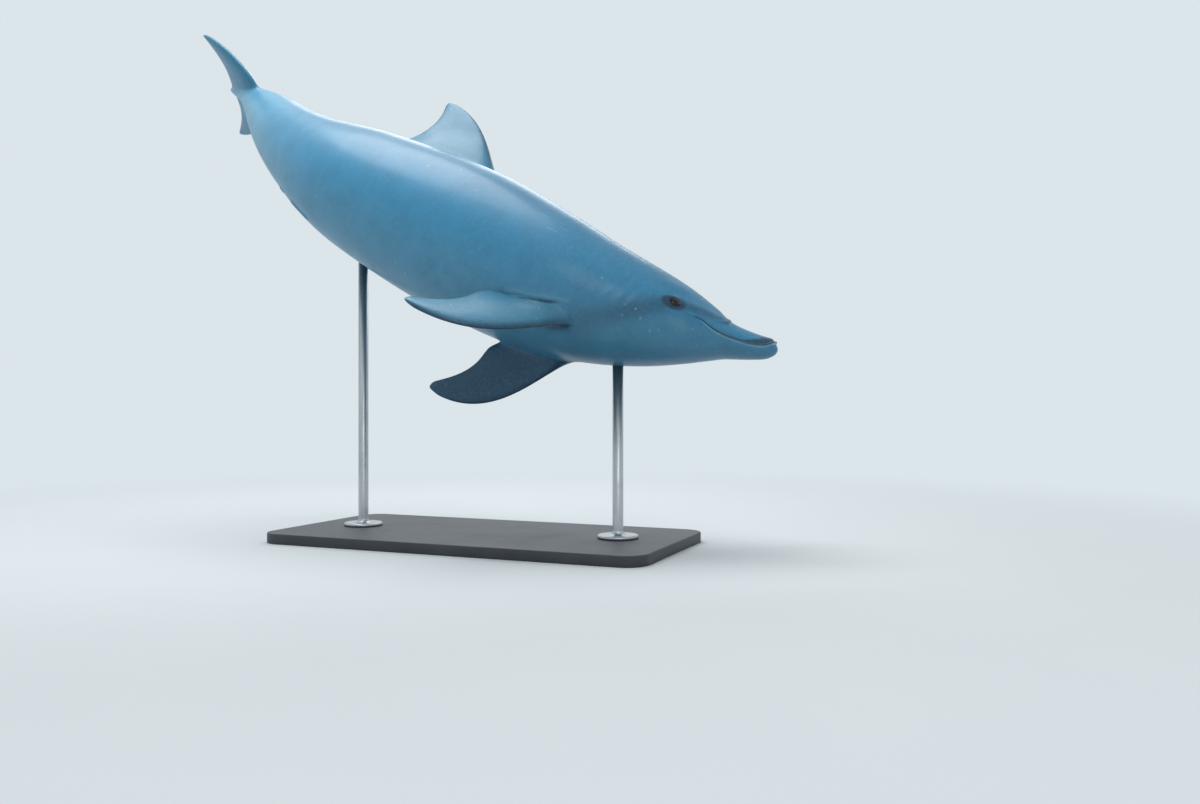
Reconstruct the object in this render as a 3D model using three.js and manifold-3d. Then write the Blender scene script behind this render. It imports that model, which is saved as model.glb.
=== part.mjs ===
// A bottlenose dolphin at life size, gliding nose down with its belly turned half to its right,
// held over a flat base by two steel rods. Millimetres, +Z up, +X the way the middle of the body heads.
// The origin is the middle of the base's underside.
import * as THREE from 'three';
import { mergeVertices } from 'three/addons/utils/BufferGeometryUtils.js';
import Module from 'manifold-3d';

// ---------------------------------------------------------------- driving dimensions

const LENGTH = 2400; // beak tip to the notch between the flukes
const GAP = 0.3; // left between pieces that meet

// The body's outline, in shares of LENGTH: [from the beak tip, back, belly, half width, widest level]
const STATIONS = [
  [0.0, -0.0045, -0.0275, 0.0125, -0.0175],
  [0.014, -0.0042, -0.0295, 0.0147, -0.0195],
  [0.035, -0.001, -0.033, 0.019, -0.022],
  [0.055, 0.005, -0.036, 0.024, -0.022],
  [0.07, 0.0185, -0.041, 0.029, -0.02],
  [0.1, 0.0345, -0.0505, 0.0408, -0.015],
  [0.14, 0.0505, -0.0605, 0.055, -0.011],
  [0.2, 0.0682, -0.0732, 0.0688, -0.007],
  [0.28, 0.0846, -0.0862, 0.0828, -0.003],
  [0.39, 0.0932, -0.0912, 0.0889, 0.0],
  [0.56, 0.0845, -0.0805, 0.0731, 0.002],
  [0.7, 0.0622, -0.0562, 0.0474, 0.003],
  [0.78, 0.0515, -0.0428, 0.0335, 0.003],
  [0.86, 0.0395, -0.0301, 0.0212, 0.002],
  [0.92, 0.02, -0.0217, 0.0138, 0.001],
  [0.96, 0.013, -0.0136, 0.0115, 0.0],
  [1.0, 0.0035, -0.004, 0.0045, 0.0],
];
const BEAK_ROUNDING = { side: 0.014, above: 0.009, below: 0.02 }; // lengths over which its tip rounds off
const TAIL_ROUNDING = 0.03; // the same at the end of the tail stock
const BEAK_LONGER = 0.003; // how far the tip is drawn out in front of the first station
const UPPER_JAW_SHORTER = 0.0015; // the lower jaw stands this far in front of the upper one
const RIDGE = 0.3; // how far the tail stock narrows to a ridge along its back and belly

// The pose. Degrees: turns of the whole body, then of its spine towards the head and the tail.
const NOSE_DOWN = 26.5;
const LEFT_SIDE_DOWN = 35.5;
const HEAD_RAISED = 25;
const HEAD_TO_LEFT = 11.5;
const TAIL_STOCK_RAISED = 23.5;
const FLUKES_LEVELLED = 22.5;
const TAIL_TO_LEFT = 18;
const TAIL_TWIST = 15.5;
const MIDDLE = 0.42; // the share of the length that the pose turns about
const MIDDLE_HEIGHT = 900;

// Where the body is parted, in shares of LENGTH
const BEAK_END = 0.056;
const NECK = 0.165;
const TAIL_START = 0.7;
const MOUTH_LINE = [
  [-0.02, -0.004],
  [0.001, -0.0098],
  [0.0045, -0.0135],
  [0.009, -0.0175],
  [0.0145, -0.0212],
  [0.023, -0.0236],
  [0.04, -0.0252],
  [0.058, -0.0252],
  [0.0767, -0.0235],
  [0.086, -0.0205],
  [0.094, -0.0178],
  [0.108, -0.0172],
];
const THROAT_END = [0.152, -0.1]; // the jaw's cut runs from the mouth's corner down to here

const EYE_SHARE = 0.1255;
const EYE_LEVEL = -0.0095;
const EYE_RADIUS = 19;
const EYE_PROUD = 3.5; // how far the eye stands out of the skin

const FLIPPER_SHARE = 0.233;
const FLIPPER_ROOT = [0.0368, -0.0548]; // out to the side and up from the spine
const FLIPPER_SCALE = 1.125;
const FLIPPER_TILT = 8; // lifts the rear edge off the body
const FLIPPERS = [
  { name: 'left_flipper', side: 1, sweep: 26.3, droop: 65 },
  { name: 'right_flipper', side: -1, sweep: 24.1, droop: 60.2 },
];
const FLUKE_SHARE = 0.955; // the flukes lie flat in the spine's frame here
const FULLNESS = 0.4; // how much fuller a fin's section is in front of its middle
const FIN_BLUNTING = 0.965; // share of a fin's edges at which its rounded tip ends

const BASE = { length: 1180, width: 560, height: 30, corner: 60, bevel: 3 };
const ROD_RADIUS = 15;
const FLANGE = { radius: 58, height: 10, fillet: 12 };
const RODS = [
  { name: 'stand_rod_front', share: 0.187 },
  { name: 'stand_rod_rear', share: 0.57 },
];

const BODY_STEPS = { around: 32, along: 54 };
const FIN_STEPS = { around: 16, along: 17 };
const EYE_STEPS = { around: 14, along: 10 };
const ROUND_STEPS = 22;

const SKIN = { color: 0x5c7f96, roughness: 0.35, metalness: 0 };
const PALE_SKIN = { color: 0x93acb6, roughness: 0.35, metalness: 0 };
const EYE = { color: 0x14181c, roughness: 0.1, metalness: 0 };
const STEEL = { color: 0xb4b8bb, roughness: 0.3, metalness: 1 };
const BASE_PAINT = { color: 0x2b2f33, roughness: 0.5, metalness: 0 };

// ---------------------------------------------------------------- helpers

const { smoothstep, clamp, degToRad } = THREE.MathUtils;
const wasm = await Module();
wasm.setup();

// A smooth curve through points that never overshoots them: a monotone cubic.
function curveThrough(xs, ys) {
  const last = xs.length - 1;
  const rise = (i) => (ys[i + 1] - ys[i]) / (xs[i + 1] - xs[i]);
  const slopes = xs.map((_, i) => {
    if (i === 0) return rise(0);
    if (i === last) return rise(last - 1);
    const before = rise(i - 1);
    const after = rise(i);
    return before * after <= 0 ? 0 : (2 * before * after) / (before + after);
  });
  return (x) => {
    let i = 0;
    while (i < last - 1 && x > xs[i + 1]) i += 1;
    const width = xs[i + 1] - xs[i];
    const t = clamp((x - xs[i]) / width, 0, 1);
    const fall = (1 + 2 * t) * (1 - t) * (1 - t);
    const leaving = t * (1 - t) * (1 - t) * slopes[i];
    const arriving = t * t * (t - 1) * slopes[i + 1];
    return fall * ys[i] + (1 - fall) * ys[i + 1] + width * (leaving + arriving);
  };
}

// A closed mesh as a solid for cutting, with its faces turned outwards.
function solidFrom(geometry) {
  const bare = geometry.clone();
  bare.deleteAttribute('normal');
  bare.deleteAttribute('uv');
  const merged = mergeVertices(bare, 1e-3);
  const corners = new Uint32Array(merged.index.array);
  const faces = [];
  for (let i = 0; i < corners.length; i += 3) {
    const [a, b, c] = corners.subarray(i, i + 3);
    if (a !== b && b !== c && c !== a) faces.push(a, b, c);
  }
  const vertProperties = new Float32Array(merged.attributes.position.array);
  const make = (triVerts) =>
    new wasm.Manifold(new wasm.Mesh({ numProp: 3, vertProperties, triVerts: new Uint32Array(triVerts) }));
  const solid = make(faces);
  return solid.volume() < 0 ? make(faces.reverse()) : solid;
}

function geometryFrom(solid) {
  const { vertProperties, triVerts } = solid.getMesh();
  const geometry = new THREE.BufferGeometry();
  geometry.setAttribute('position', new THREE.BufferAttribute(vertProperties, 3));
  geometry.setIndex(new THREE.BufferAttribute(triVerts, 1));
  geometry.computeVertexNormals();
  return geometry;
}

// A closed body made by moving each point of a sphere to shape(around, along). Both run from 0 to 1,
// and at along 0 and 1 the shape must close to a point.
function shapedSphere(steps, shape) {
  const geometry = new THREE.SphereGeometry(1, steps.around, steps.along);
  const { position, uv } = geometry.attributes;
  for (let i = 0; i < position.count; i += 1) {
    const point = shape(uv.getX(i), 1 - uv.getY(i));
    position.setXYZ(i, point.x, point.y, point.z);
  }
  return solidFrom(geometry);
}

const reach = (solid) => solid.boundingBox().max[0];
const bottom = (solid) => solid.boundingBox().min[2];
const largest = (solid) => solid.decompose().sort((a, b) => b.volume() - a.volume())[0];
const lowest = (solid) => solid.decompose().sort((a, b) => bottom(a) - bottom(b))[0];

// The two pieces that a thin cut leaves, the one that reaches further forward first
function parted(solid, cut) {
  return solid.subtract(cut).decompose().sort((a, b) => reach(b) - reach(a));
}

// ---------------------------------------------------------------- the spine and the pose

const shares = STATIONS.map((row) => row[0]);
const [back, belly, halfWidth, widestLevel] = [1, 2, 3, 4].map((column) =>
  curveThrough(shares, STATIONS.map((row) => row[column])),
);

// Which way the spine heads at a share of the length, and how far it is twisted, in radians
function spineAngles(share) {
  const towardsHead = 1 - smoothstep(share, 0.1, 0.34);
  return {
    pitch: degToRad(
      HEAD_RAISED * towardsHead
        - TAIL_STOCK_RAISED * smoothstep(share, 0.45, 0.88)
        + FLUKES_LEVELLED * smoothstep(share, 0.88, 0.99),
    ),
    yaw: degToRad(
      HEAD_TO_LEFT * (1 - smoothstep(share, 0.08, 0.34)) - TAIL_TO_LEFT * smoothstep(share, 0.4, 0.95),
    ),
    twist: degToRad(TAIL_TWIST * smoothstep(share, 0.5, 0.98)),
  };
}

function headingAt(share) {
  const { pitch, yaw } = spineAngles(share);
  return new THREE.Vector3(
    Math.cos(pitch) * Math.cos(yaw),
    Math.cos(pitch) * Math.sin(yaw),
    Math.sin(pitch),
  );
}

// The spine's points, found by walking along its heading in short steps
const SPINE_STEP = 0.0025;
const SPINE_START = -0.04;
const spinePoints = [new THREE.Vector3()];
for (let share = SPINE_START; share < 1.1; share += SPINE_STEP) {
  const step = headingAt(share + SPINE_STEP / 2).multiplyScalar(-SPINE_STEP);
  spinePoints.push(spinePoints.at(-1).clone().add(step));
}

function spinePoint(share) {
  const place = (share - SPINE_START) / SPINE_STEP;
  const i = Math.floor(place);
  return spinePoints[i].clone().lerp(spinePoints[i + 1], place - i);
}

const bodyTurn = new THREE.Matrix4()
  .makeRotationY(degToRad(NOSE_DOWN))
  .multiply(new THREE.Matrix4().makeRotationX(-degToRad(LEFT_SIDE_DOWN)));
const middlePoint = spinePoint(MIDDLE);

// The spine's point from its middle, turned into the pose, in millimetres
const turnedSpinePoint = (share) =>
  spinePoint(share).sub(middlePoint).multiplyScalar(LENGTH).applyMatrix4(bodyTurn);

// The base's middle lies half way between the feet of the rods.
const footMiddle = turnedSpinePoint(RODS[0].share).add(turnedSpinePoint(RODS[1].share)).multiplyScalar(0.5);
const bodyShift = new THREE.Vector3(-footMiddle.x, -footMiddle.y, MIDDLE_HEIGHT);

// The spine's place and its three directions in the pose
function frameAt(share) {
  const { yaw, twist } = spineAngles(share);
  const ahead = headingAt(share);
  const level = new THREE.Vector3(-Math.sin(yaw), Math.cos(yaw), 0);
  const upright = ahead.clone().cross(level);
  const left = level.clone().multiplyScalar(Math.cos(twist)).addScaledVector(upright, -Math.sin(twist));
  const up = ahead.clone().cross(left);
  return {
    point: turnedSpinePoint(share).add(bodyShift),
    ahead: ahead.transformDirection(bodyTurn),
    left: left.transformDirection(bodyTurn),
    up: up.transformDirection(bodyTurn),
  };
}

// The point at a share of the length, y to the left of the spine and z above it, in shares of LENGTH
function place(share, y, z) {
  const { point, left, up } = frameAt(share);
  return point.addScaledVector(left, y * LENGTH).addScaledVector(up, z * LENGTH);
}

// ---------------------------------------------------------------- the body

// 0 at an end of the body, growing like the edge of an ellipse to 1
const rounding = (distance, length) => Math.sqrt(1 - (1 - clamp(distance / length, 0, 1)) ** 2);

// 1 along the body, falling to 0 at both ends. The tip of the beak is rounded more below than above.
const closing = (share, way) => rounding(share, BEAK_ROUNDING[way]) * rounding(1 - share, TAIL_ROUNDING);

// The skin at a share of the length and an angle round it: 0 is the left side, a quarter turn the back.
function bodyPoint(share, angle, grown = 0) {
  const extra = grown / LENGTH;
  const side = Math.cos(angle);
  const rise = Math.sin(angle);
  const level = widestLevel(share);
  const half = rise > 0 ? back(share) - level : level - belly(share);
  const ridge = 1 - RIDGE * smoothstep(share, 0.55, 0.85) * rise ** 4;
  const shorter = UPPER_JAW_SHORTER * smoothstep(rise, -0.1, 0.5) * (1 - smoothstep(share, 0, 0.03));
  const y = side * (halfWidth(share) * ridge + extra) * closing(share, 'side');
  const z = level + rise * (half + extra) * closing(share, rise > 0 ? 'above' : 'below');
  const longer = BEAK_LONGER * (1 - smoothstep(share, 0, 0.06));
  const drawn = share + shorter * closing(share, 'side') - longer;
  const stretched = 0.5 + (drawn - 0.5) * (1 + 2 * extra);
  return place(stretched, y, z);
}

const bodySolid = (grown) =>
  shapedSphere(BODY_STEPS, (around, along) => bodyPoint(along ** 1.5, 2 * Math.PI * around, grown));

const body = bodySolid(0);
const grownBody = bodySolid(GAP);

// ---------------------------------------------------------------- the cuts that part it

// A thin square sheet across the body
function crossCut(share) {
  const size = 0.3 * LENGTH;
  const { point, ahead, left, up } = frameAt(share);
  const geometry = new THREE.BoxGeometry(GAP, size, size);
  geometry.applyMatrix4(new THREE.Matrix4().makeBasis(ahead, left, up).setPosition(point));
  return solidFrom(geometry);
}

// A thin sheet right across the head, along the mouth line and then down to the throat. The sheet is
// flat from side to side, in the frame of the straight front of the spine.
function mouthCut() {
  const line = curveThrough(MOUTH_LINE.map(([share]) => share), MOUTH_LINE.map(([, level]) => level));
  const [start, corner] = [MOUTH_LINE[0][0], MOUTH_LINE.at(-1)[0]];
  const steps = 16;
  const path = [];
  for (let i = 0; i <= steps; i += 1) {
    const share = start + ((corner - start) * i) / steps;
    path.push(new THREE.Vector2(share, line(share)).multiplyScalar(LENGTH));
  }
  path.push(new THREE.Vector2(...THROAT_END).multiplyScalar(LENGTH));
  const offset = (sign) =>
    path.map((point, i) => {
      const before = point.clone().sub(path[Math.max(i - 1, 0)]).normalize();
      const after = path[Math.min(i + 1, steps + 1)].clone().sub(point).normalize();
      const across = before.add(after).normalize().rotateAround(new THREE.Vector2(), Math.PI / 2);
      return point.clone().addScaledVector(across, (sign * GAP) / 2);
    });
  const shape = new THREE.Shape([...offset(1), ...offset(-1).reverse()]);
  const width = 0.2 * LENGTH;
  const geometry = new THREE.ExtrudeGeometry(shape, { depth: width, bevelEnabled: false });
  geometry.translate(0, 0, -width / 2);
  const { point: tip, ahead, left, up } = frameAt(0);
  geometry.applyMatrix4(new THREE.Matrix4().makeBasis(ahead.negate(), up, left).setPosition(tip));
  return solidFrom(geometry);
}

// ---------------------------------------------------------------- eyes

function eyeCentre(side) {
  const level = widestLevel(EYE_SHARE);
  const rise = (EYE_LEVEL - level) / (back(EYE_SHARE) - level);
  const angle = side > 0 ? Math.asin(rise) : Math.PI - Math.asin(rise);
  const step = 0.004;
  const skin = bodyPoint(EYE_SHARE, angle);
  const along = bodyPoint(EYE_SHARE + step, angle).sub(bodyPoint(EYE_SHARE - step, angle));
  const round = bodyPoint(EYE_SHARE, angle + step).sub(bodyPoint(EYE_SHARE, angle - step));
  const outward = round.cross(along.negate()).normalize();
  return skin.addScaledVector(outward, EYE_PROUD - EYE_RADIUS);
}

function ball(centre, radius) {
  const geometry = new THREE.SphereGeometry(radius, EYE_STEPS.around, EYE_STEPS.along);
  geometry.translate(centre.x, centre.y, centre.z);
  return solidFrom(geometry);
}

// ---------------------------------------------------------------- fins

const bezier = (...points) => new THREE.CubicBezierCurve(...points.map((p) => new THREE.Vector2(...p)));
const straight = (...points) => new THREE.LineCurve(...points.map((p) => new THREE.Vector2(...p)));

// One edge of a fin, from inside the body to the tip
function edge(...curves) {
  const path = new THREE.CurvePath();
  curves.forEach((curve) => path.add(curve));
  return path;
}

// A fin between two edges. `thickness` gives half its thickness at a share of the span, all in shares
// of LENGTH, and `point` turns a place in the fin's plane and a height off it into a point in the pose.
function finSolid({ front, rear, thickness, point }) {
  return shapedSphere(FIN_STEPS, (around, along) => {
    const span = Math.sin((along * Math.PI) / 2);
    const angle = 2 * Math.PI * around;
    const closing = along < 1e-6 ? 0 : rounding(1 - span, 0.06);
    const across = 0.5 - 0.5 * Math.cos(angle) * closing;
    const full = Math.sin(angle) * (1 + FULLNESS * Math.cos(angle)) * closing;
    const lead = front.getPoint(span * FIN_BLUNTING);
    const trail = rear.getPoint(span * FIN_BLUNTING);
    return point(lead.lerp(trail, across), thickness(span) * full);
  });
}

// Flippers: x runs out from the root, y back along the body.
const flipperFront = edge(
  straight([-0.029, -0.03], [0.0007, -0.02]),
  bezier([0.0007, -0.02], [0.0274, -0.002], [0.1164, -0.0144], [0.1376, 0.0759]),
);
const flipperRear = edge(
  straight([0.001, 0.038], [0.0328, 0.0408]),
  bezier([0.0328, 0.0408], [0.0365, 0.0315], [0.0318, 0.0658], [0.0676, 0.0577]),
  bezier([0.0676, 0.0577], [0.1034, 0.0496], [0.1328, 0.0872], [0.1376, 0.0759]),
);

function flipperSolid({ side, sweep, droop }) {
  const { point: spine, ahead, left, up } = frameAt(FLIPPER_SHARE);
  const root = spine
    .addScaledVector(left, side * FLIPPER_ROOT[0] * LENGTH)
    .addScaledVector(up, FLIPPER_ROOT[1] * LENGTH);
  const mix = (a, cosine, b, sine) => a.clone().multiplyScalar(cosine).addScaledVector(b, sine);
  const [droopCos, droopSin] = [Math.cos(degToRad(droop)), Math.sin(degToRad(droop))];
  const [sweepCos, sweepSin] = [Math.cos(degToRad(sweep)), Math.sin(degToRad(sweep))];
  const outDown = mix(left.multiplyScalar(side), droopCos, up, -droopSin);
  const upperFace = mix(up, droopCos, left, droopSin);
  const out = mix(outDown, sweepCos, ahead, -sweepSin);
  const level = mix(outDown, -sweepSin, ahead, -sweepCos);
  const [tiltCos, tiltSin] = [Math.cos(degToRad(FLIPPER_TILT)), Math.sin(degToRad(FLIPPER_TILT))];
  const rearward = mix(level, tiltCos, upperFace, tiltSin);
  const normal = mix(upperFace, tiltCos, level, -tiltSin);
  const scale = FLIPPER_SCALE * LENGTH;
  return finSolid({
    front: flipperFront,
    rear: flipperRear,
    thickness: (span) => 0.0026 + 0.0052 * (1 - span) + 0.006 * (1 - smoothstep(span, 0.1, 0.4)),
    point: (flat, height) =>
      root
        .clone()
        .addScaledVector(out, flat.x * scale)
        .addScaledVector(rearward, flat.y * scale)
        .addScaledVector(normal, height * LENGTH),
  });
}

// Dorsal fin: x is the share of the length, y the height over the spine.
const dorsalFront = edge(
  straight([0.385, 0.05], [0.421, 0.0945]),
  bezier([0.421, 0.0945], [0.465, 0.135], [0.511, 0.19], [0.606, 0.184]),
);
const dorsalRear = edge(
  straight([0.61, 0.05], [0.604, 0.086]),
  bezier([0.604, 0.086], [0.57, 0.118], [0.571, 0.156], [0.606, 0.184]),
);
const dorsalSolid = () =>
  finSolid({
    front: dorsalFront,
    rear: dorsalRear,
    thickness: (span) => 0.0024 + 0.0062 * (1 - span) + 0.008 * (1 - smoothstep(span, 0.25, 0.6)),
    point: (flat, height) => place(flat.x, height, flat.y),
  });

// Flukes: x is the share of the length, y the distance out to the side.
const flukeFront = edge(
  straight([0.888, -0.004], [0.905, 0.01]),
  bezier([0.905, 0.01], [0.922, 0.045], [0.977, 0.0785], [1.036, 0.079]),
);
const flukeRear = edge(
  straight([0.996, -0.004], [0.996, 0.004]),
  bezier([0.996, 0.004], [0.9848, 0.0289], [0.9979, 0.0481], [1.036, 0.079]),
);

function flukeSolid(side) {
  const { point: spine, ahead, left, up } = frameAt(FLUKE_SHARE);
  const whole = finSolid({
    front: flukeFront,
    rear: flukeRear,
    thickness: (span) => 0.0022 + 0.0068 * (1 - span),
    point: (flat, height) =>
      spine
        .clone()
        .addScaledVector(ahead, (FLUKE_SHARE - flat.x) * LENGTH)
        .addScaledVector(left, side * flat.y * LENGTH)
        .addScaledVector(up, height * LENGTH),
  });
  // Each fluke ends just short of the middle, where it meets the other.
  const size = 0.3 * LENGTH;
  const otherSide = new THREE.BoxGeometry(size, size, size);
  otherSide.translate(0, -size / 2 + GAP / 2, 0);
  if (side < 0) otherSide.rotateX(Math.PI);
  otherSide.applyMatrix4(new THREE.Matrix4().makeBasis(ahead, left, up).setPosition(spine));
  return whole.subtract(solidFrom(otherSide));
}

const onBody = (fin) => largest(fin.subtract(grownBody));

// ---------------------------------------------------------------- stand

function baseGeometry() {
  const { length, width, height, corner, bevel } = BASE;
  const [x, y] = [length / 2 - bevel - corner, width / 2 - bevel - corner];
  const outline = new THREE.Shape();
  outline.absarc(x, y, corner, 0, Math.PI / 2);
  outline.absarc(-x, y, corner, Math.PI / 2, Math.PI);
  outline.absarc(-x, -y, corner, Math.PI, 1.5 * Math.PI);
  outline.absarc(x, -y, corner, 1.5 * Math.PI, 2 * Math.PI);
  const geometry = new THREE.ExtrudeGeometry(outline, {
    depth: height - 2 * bevel,
    bevelThickness: bevel,
    bevelSize: bevel,
    bevelSegments: 1,
    curveSegments: 6,
  });
  geometry.translate(0, 0, bevel);
  return geometry;
}

// A rod with a round foot, standing on the base and cut to the body that it holds
function rodSolid({ share }) {
  const { point } = frameAt(share);
  const { radius, height, fillet } = FLANGE;
  const profile = [
    [0, 0],
    [radius, 0],
    [radius, height - 3],
    [radius - 3, height],
    [ROD_RADIUS + fillet, height],
    [ROD_RADIUS + fillet * 0.3, height + fillet * 0.3],
    [ROD_RADIUS, height + fillet],
    [ROD_RADIUS, point.z - BASE.height],
    [0, point.z - BASE.height],
  ];
  const geometry = new THREE.LatheGeometry(profile.map(([r, h]) => new THREE.Vector2(r, h)), ROUND_STEPS);
  geometry.rotateX(Math.PI / 2);
  geometry.translate(point.x, point.y, BASE.height + GAP);
  return lowest(solidFrom(geometry).subtract(grownBody));
}

// ---------------------------------------------------------------- assembly

const dolphin = new THREE.Group();

function add(name, shape, finish) {
  const geometry = shape.isBufferGeometry ? shape : geometryFrom(shape);
  const mesh = new THREE.Mesh(geometry, new THREE.MeshStandardMaterial(finish));
  mesh.name = name;
  dolphin.add(mesh);
}

const [front, tailStock] = parted(body, crossCut(TAIL_START));
const [headAndBeak, trunk] = parted(front, crossCut(NECK));
const [lowerJaw, skull] = parted(headAndBeak, mouthCut());
const [upperBeak, headWhole] = parted(skull, crossCut(BEAK_END));

let head = headWhole;
for (const [name, side] of [['left_eye', 1], ['right_eye', -1]]) {
  const centre = eyeCentre(side);
  add(name, ball(centre, EYE_RADIUS), EYE);
  head = head.subtract(ball(centre, EYE_RADIUS + GAP));
}
add('head', head, SKIN);
add('upper_beak', upperBeak, SKIN);
add('lower_jaw', lowerJaw, PALE_SKIN);
add('trunk', trunk, SKIN);
add('tail_stock', tailStock, SKIN);
add('dorsal_fin', onBody(dorsalSolid()), SKIN);
FLIPPERS.forEach((flipper) => add(flipper.name, onBody(flipperSolid(flipper)), SKIN));
add('left_fluke', onBody(flukeSolid(1)), SKIN);
add('right_fluke', onBody(flukeSolid(-1)), SKIN);
add('stand_base', baseGeometry(), BASE_PAINT);
RODS.forEach((rod) => add(rod.name, rodSolid(rod), STEEL));

export default dolphin;
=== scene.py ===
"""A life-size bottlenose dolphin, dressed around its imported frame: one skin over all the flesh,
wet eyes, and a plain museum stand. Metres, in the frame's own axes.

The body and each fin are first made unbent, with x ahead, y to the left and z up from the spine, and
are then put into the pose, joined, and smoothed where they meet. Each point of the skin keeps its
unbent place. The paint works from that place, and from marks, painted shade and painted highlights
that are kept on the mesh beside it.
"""

import math

import bmesh
import bpy
import numpy as np
from mathutils import Matrix, Vector
from mathutils.kdtree import KDTree


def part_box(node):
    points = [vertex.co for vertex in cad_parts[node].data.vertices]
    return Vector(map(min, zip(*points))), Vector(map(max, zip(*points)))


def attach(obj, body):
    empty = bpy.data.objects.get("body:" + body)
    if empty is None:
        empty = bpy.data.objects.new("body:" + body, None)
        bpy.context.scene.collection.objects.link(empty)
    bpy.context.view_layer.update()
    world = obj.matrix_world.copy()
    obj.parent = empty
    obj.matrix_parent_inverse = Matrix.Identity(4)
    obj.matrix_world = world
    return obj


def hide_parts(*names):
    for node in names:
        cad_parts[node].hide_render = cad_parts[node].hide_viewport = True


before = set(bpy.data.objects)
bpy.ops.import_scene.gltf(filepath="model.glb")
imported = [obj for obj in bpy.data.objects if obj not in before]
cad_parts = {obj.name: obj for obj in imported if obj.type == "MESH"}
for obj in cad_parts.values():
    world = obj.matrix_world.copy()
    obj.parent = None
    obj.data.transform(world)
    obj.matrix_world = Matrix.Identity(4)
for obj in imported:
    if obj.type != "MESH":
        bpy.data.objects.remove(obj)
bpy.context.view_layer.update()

# ---- sizes and pose

LENGTH = 2.4  # beak tip to the notch between the flukes

# A place on the body is a share, its distance behind the beak tip, and a level, its height over the
# spine. Both are in shares of LENGTH.

# The body's outline: share, level of the back, level of the belly, half width, level where it is widest
STATIONS = (
    (0.0, -0.0045, -0.0275, 0.0125, -0.0175),
    (0.014, -0.0042, -0.0295, 0.0147, -0.0195),
    (0.035, -0.001, -0.033, 0.019, -0.022),
    (0.055, 0.005, -0.036, 0.024, -0.022),
    (0.07, 0.0185, -0.041, 0.029, -0.02),
    (0.1, 0.0345, -0.0505, 0.0408, -0.015),
    (0.14, 0.0505, -0.0605, 0.055, -0.011),
    (0.2, 0.0682, -0.0732, 0.0688, -0.007),
    (0.28, 0.0846, -0.0862, 0.0828, -0.003),
    (0.39, 0.0932, -0.0912, 0.0889, 0.0),
    (0.56, 0.0845, -0.0805, 0.0731, 0.002),
    (0.7, 0.0622, -0.0562, 0.0474, 0.003),
    (0.78, 0.0515, -0.0428, 0.0335, 0.003),
    (0.86, 0.0395, -0.0301, 0.0212, 0.002),
    (0.92, 0.02, -0.0217, 0.0138, 0.001),
    (0.96, 0.013, -0.0136, 0.0115, 0.0),
    (1.0, 0.0035, -0.004, 0.0045, 0.0),
)
BEAK_ROUNDING = {"side": 0.014, "above": 0.009, "below": 0.02}
BEAK_LONGER = 0.003
TAIL_ROUNDING = 0.03
UPPER_JAW_SHORTER = 0.0015
RIDGE = 0.3  # how much narrower the tail stock is along its back and belly

# The pose, in degrees
NOSE_DOWN = 26.5
LEFT_SIDE_DOWN = 35.5
HEAD_RAISED = 25
HEAD_TO_LEFT = 11.5
TAIL_STOCK_RAISED = 23.5
FLUKES_LEVELLED = 22.5
TAIL_TO_LEFT = 18
TAIL_TWIST = 15.5

MIDDLE = 0.42  # the share of the spine that is at MIDDLE_HEIGHT over the floor
MIDDLE_HEIGHT = 0.9
ROD_SHARES = {"stand_rod_front": 0.187, "stand_rod_rear": 0.57}

MOUTH_LINE = (  # share and level
    (-0.02, -0.004),
    (0.001, -0.0098),
    (0.0045, -0.0135),
    (0.009, -0.0175),
    (0.0145, -0.0212),
    (0.023, -0.0236),
    (0.04, -0.0252),
    (0.058, -0.0252),
    (0.0767, -0.0235),
    (0.086, -0.0205),
    (0.094, -0.0178),
    (0.108, -0.0172),
)
MOUTH_CORNER = 0.107

EYE_SHARE = 0.1255
EYE_LEVEL = -0.0095
EYE_RADIUS = 0.019
EYE_PROUD = 0.0035
EYE_TILT = math.radians(-9)
EYE_OPENING = (0.0135, 0.0068)  # half width and half height
LID_THICKNESS = 0.0017
LID_SOFTNESS = 0.004
EYE_SOCKET_DEPTH = 0.0026  # how far the skin in the opening lies inside the eye's ball

BLOWHOLE_SHARE = 0.147
BLOWHOLE_HALF = 0.019
BLOWHOLE_BOW = 0.011

# The navel and the slits under the tail stock: first share, last share, depth in metres
BELLY_SLITS = ((0.47, 0.474, 0.0016), (0.592, 0.632, 0.0034), (0.652, 0.664, 0.0028))

FLIPPER_SHARE = 0.233
FLIPPER_ROOT = (0.0368, -0.0548)
FLIPPER_SCALE = 1.125
FLIPPERS = {1: (26.3, 65), -1: (24.1, 60.2)}  # side: sweep and droop in degrees
FLIPPER_TILT = 8  # degrees that lift the rear edge off the body
FLUKE_SHARE = 0.955
FLUKES_FROM = 0.88  # the share from which the skin is smoothed and painted as the flukes'
FIN_FULLNESS = 0.4
FIN_BLUNTING = 0.965

# ---- curves


def rising(value, low, high):
    """Rises softly from 0 at low to 1 at high."""
    t = np.clip((value - low) / (high - low), 0, 1)
    return t * t * (3 - 2 * t)


def fading(value, start, end):
    """Falls softly from 1 at start to 0 at end."""
    return 1 - rising(value, start, end)


def between(value, start, full, still_full, end):
    """Rises softly from 0 at start to 1 at full, and falls again from still_full to end."""
    return rising(value, start, full) * fading(value, still_full, end)


def within(value, low, high):
    return (value > low) & (value < high)


def hump(distance, width):
    """1 at distance 0, falling softly to almost nothing at twice the width."""
    return np.exp(-((distance / width) ** 2))


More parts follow.
